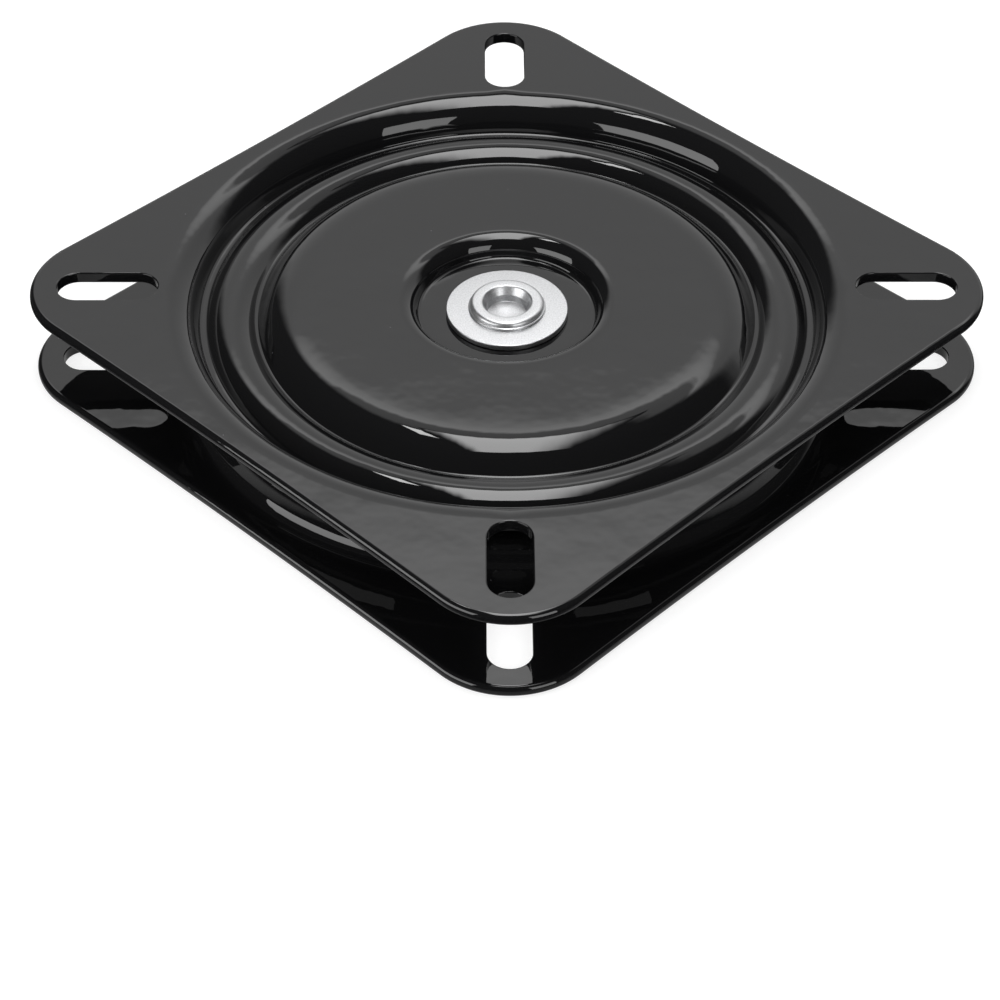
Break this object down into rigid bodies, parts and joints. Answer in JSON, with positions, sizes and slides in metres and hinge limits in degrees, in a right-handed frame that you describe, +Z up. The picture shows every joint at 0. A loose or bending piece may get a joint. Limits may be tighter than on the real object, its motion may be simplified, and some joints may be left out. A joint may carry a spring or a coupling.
{
  "type": "swivel mount",
  "caption": "Square ball-bearing swivel mount: two pressed black steel plates back to back, slotted at the corners, turning on a caged ring of balls round a hollow rivet.",
  "frame": {"origin": "on the swivel axis, in the plane of the lower mounting face", "axes": "+Z up along the swivel axis; the plates' corners point along X and Y"},
  "size_m": [0.2332, 0.2332, 0.025],
  "materials": {
    "black_paint": "gloss",
    "zinc_plate": "satin",
    "ball_steel": "polished",
    "cage_nylon": "satin",
    "spacer_acetal": "satin"
  },
  "bodies": {
    "base": {"bottom_plate": "black_paint", "centre_spacer": "spacer_acetal", "bottom_washer": "zinc_plate", "centre_rivet": "zinc_plate", "top_washer": "zinc_plate"},
    "turntable": {"top_plate": "black_paint"},
    "ball_ring": {"ball_cage": "cage_nylon", "ball_01": "ball_steel", "ball_02": "ball_steel", "ball_03": "ball_steel", "ball_04": "ball_steel", "ball_05": "ball_steel", "ball_06": "ball_steel", "ball_07": "ball_steel", "ball_08": "ball_steel", "ball_09": "ball_steel", "ball_10": "ball_steel", "ball_11": "ball_steel", "ball_12": "ball_steel", "ball_13": "ball_steel", "ball_14": "ball_steel", "ball_15": "ball_steel", "ball_16": "ball_steel", "ball_17": "ball_steel", "ball_18": "ball_steel", "ball_19": "ball_steel", "ball_20": "ball_steel", "ball_21": "ball_steel", "ball_22": "ball_steel", "ball_23": "ball_steel", "ball_24": "ball_steel", "ball_25": "ball_steel", "ball_26": "ball_steel", "ball_27": "ball_steel", "ball_28": "ball_steel", "ball_29": "ball_steel", "ball_30": "ball_steel", "ball_31": "ball_steel", "ball_32": "ball_steel", "ball_33": "ball_steel", "ball_34": "ball_steel", "ball_35": "ball_steel", "ball_36": "ball_steel", "ball_37": "ball_steel", "ball_38": "ball_steel", "ball_39": "ball_steel", "ball_40": "ball_steel", "ball_41": "ball_steel", "ball_42": "ball_steel", "ball_43": "ball_steel", "ball_44": "ball_steel", "ball_45": "ball_steel", "ball_46": "ball_steel", "ball_47": "ball_steel", "ball_48": "ball_steel"}
  },
  "joints": [
    {"name": "swivel", "type": "hinge", "parent": "base", "child": "turntable", "pos_m": [0, 0, 0.0125], "axis": [0, 0, 1], "continuous": true},
    {"name": "ball_ring_turn", "type": "hinge", "parent": "base", "child": "ball_ring", "pos_m": [0, 0, 0.0125], "axis": [0, 0, 1], "continuous": true}
  ],
  "couplings": [
    {"joint": "ball_ring_turn", "follows": "swivel", "ratio": 0.5}
  ]
}
